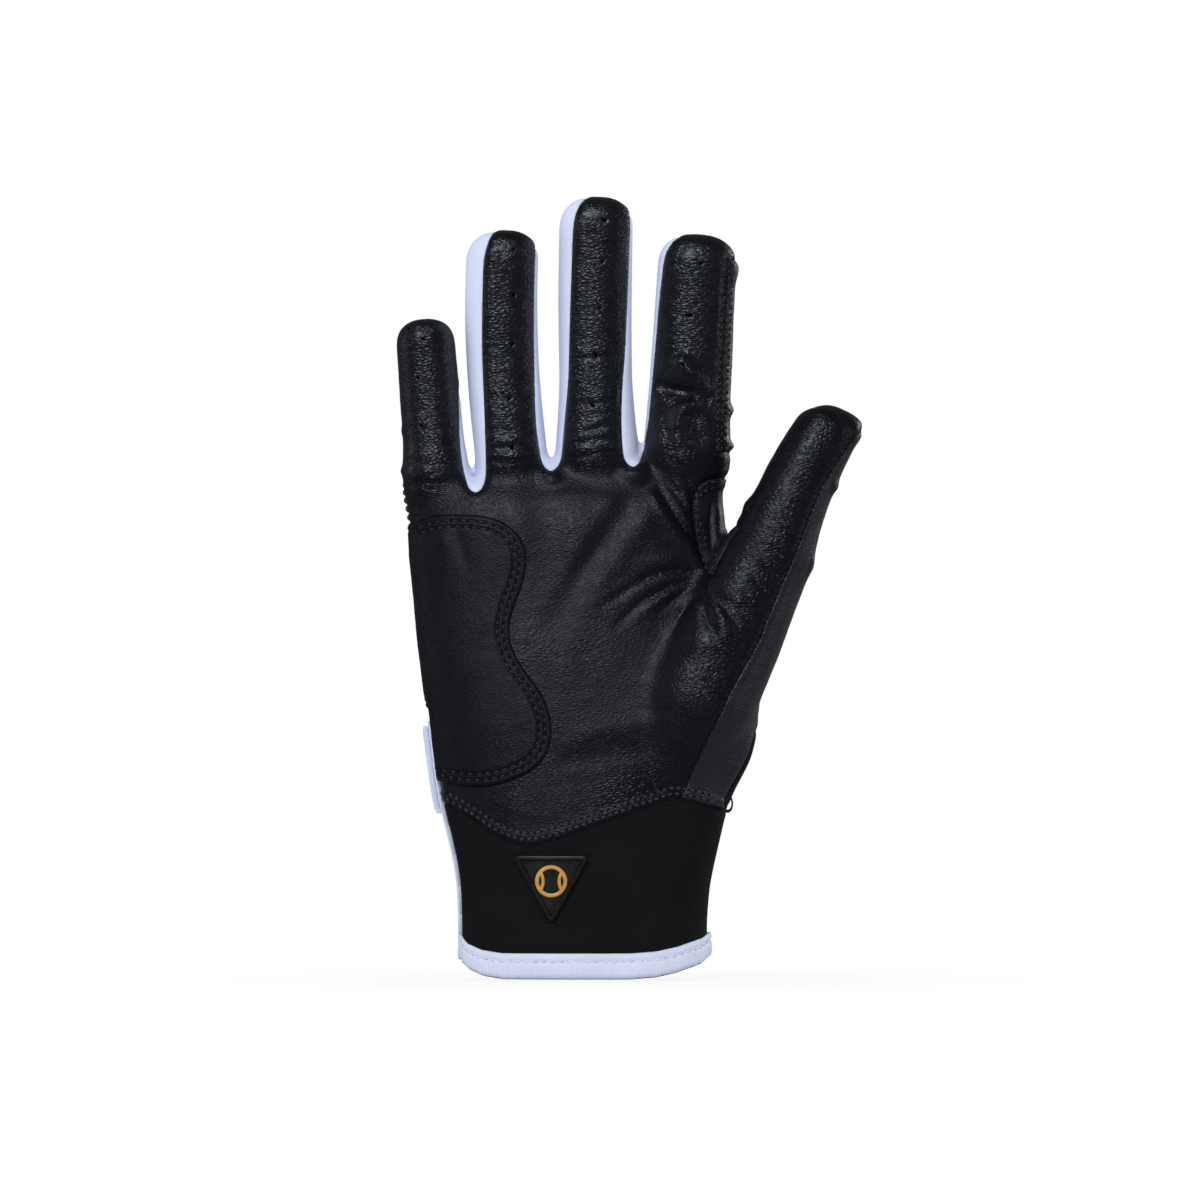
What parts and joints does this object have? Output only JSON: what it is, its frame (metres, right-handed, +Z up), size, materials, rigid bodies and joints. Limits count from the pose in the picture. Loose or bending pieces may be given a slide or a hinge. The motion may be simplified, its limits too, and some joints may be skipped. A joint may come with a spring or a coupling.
{
  "type": "batting glove",
  "caption": "Right-hand baseball batting glove: black leather palm, white stretch gussets between the fingers, stretch cuff with bound hem and back closure strap.",
  "frame": {"origin": "centre of the glove's box at the level of the hem it stands on", "axes": "+Z up from the hem to the fingertips, palm faces -Y, thumb towards +X"},
  "size_m": [0.129, 0.0482, 0.2184],
  "materials": {
    "black_leather": "soft sheepskin, fine grain, semi-gloss",
    "black_microfibre": "matt synthetic suede",
    "white_stretch": "matt four-way stretch cloth",
    "black_neoprene": "knit-faced stretch cloth, matt",
    "white_tape": "ribbed elastic binding",
    "white_strap": "padded synthetic, satin",
    "black_rubber": "moulded, semi-gloss",
    "gold_rubber": "moulded, metallic gold",
    "black_pile": "hook-and-loop pile",
    "label_cloth": "woven label, bare"
  },
  "bodies": {
    "glove_body": {"palm_leather": "black_leather", "heel_pad": "black_leather", "thumb_web_patch": "black_leather", "thumb_side_panel": "black_microfibre", "back_hand_panel": "black_microfibre", "knuckle_flex_panel": "black_rubber", "knuckle_yoke": "black_microfibre", "pinky_ring_web": "white_stretch", "ring_middle_web": "white_stretch", "middle_index_web": "white_stretch", "cuff_front": "black_neoprene", "cuff_back": "black_neoprene", "hem_binding": "white_tape", "slit_binding": "white_tape", "loop_patch": "black_pile", "badge_plate": "black_rubber", "badge_emblem": "gold_rubber", "size_label": "label_cloth"},
    "pinky": {"pinky_front": "black_leather", "pinky_back": "black_microfibre", "pinky_right_gusset": "white_stretch", "pinky_flex_pad": "black_rubber"},
    "ring": {"ring_front": "black_leather", "ring_back": "black_microfibre", "ring_left_gusset": "white_stretch", "ring_right_gusset": "white_stretch", "ring_flex_pad": "black_rubber"},
    "middle": {"middle_front": "black_leather", "middle_back": "black_microfibre", "middle_left_gusset": "white_stretch", "middle_right_gusset": "white_stretch", "middle_flex_pad": "black_rubber"},
    "index": {"index_front": "black_leather", "index_back": "black_microfibre", "index_left_gusset": "white_stretch", "index_side_strip": "black_leather", "index_flex_pad": "black_rubber"},
    "thumb": {"thumb_front": "black_leather", "thumb_back": "black_microfibre"},
    "strap": {"wrist_strap": "white_strap", "hook_patch": "black_pile", "pull_tab": "black_rubber"}
  },
  "joints": [
    {"name": "pinky_flex", "type": "hinge", "parent": "glove_body", "child": "pinky", "pos_m": [-0.0536, -0.00881, 0.1405], "axis": [0.9968, 0, 0.0802], "range_deg": [0, 85]},
    {"name": "ring_flex", "type": "hinge", "parent": "glove_body", "child": "ring", "pos_m": [-0.0326, -0.00959, 0.146], "axis": [0.9993, 0, 0.0366], "range_deg": [0, 85]},
    {"name": "middle_flex", "type": "hinge", "parent": "glove_body", "child": "middle", "pos_m": [-0.0086, -0.00982, 0.148], "axis": [1, 0, 0.0017], "range_deg": [0, 85]},
    {"name": "index_flex", "type": "hinge", "parent": "glove_body", "child": "index", "pos_m": [0.0164, -0.00982, 0.1475], "axis": [0.9983, 0, -0.0576], "range_deg": [0, 85]},
    {"name": "thumb_flex", "type": "hinge", "parent": "glove_body", "child": "thumb", "pos_m": [0.0407, -0.02061, 0.121], "axis": [0.8988, 0, -0.4384], "range_deg": [0, 50]},
    {"name": "strap_open", "type": "hinge", "parent": "glove_body", "child": "strap", "pos_m": [-0.0554, -0.00157, 0.05885], "axis": [-0.1215, 0, 0.9926], "range_deg": [0, 115]}
  ]
}
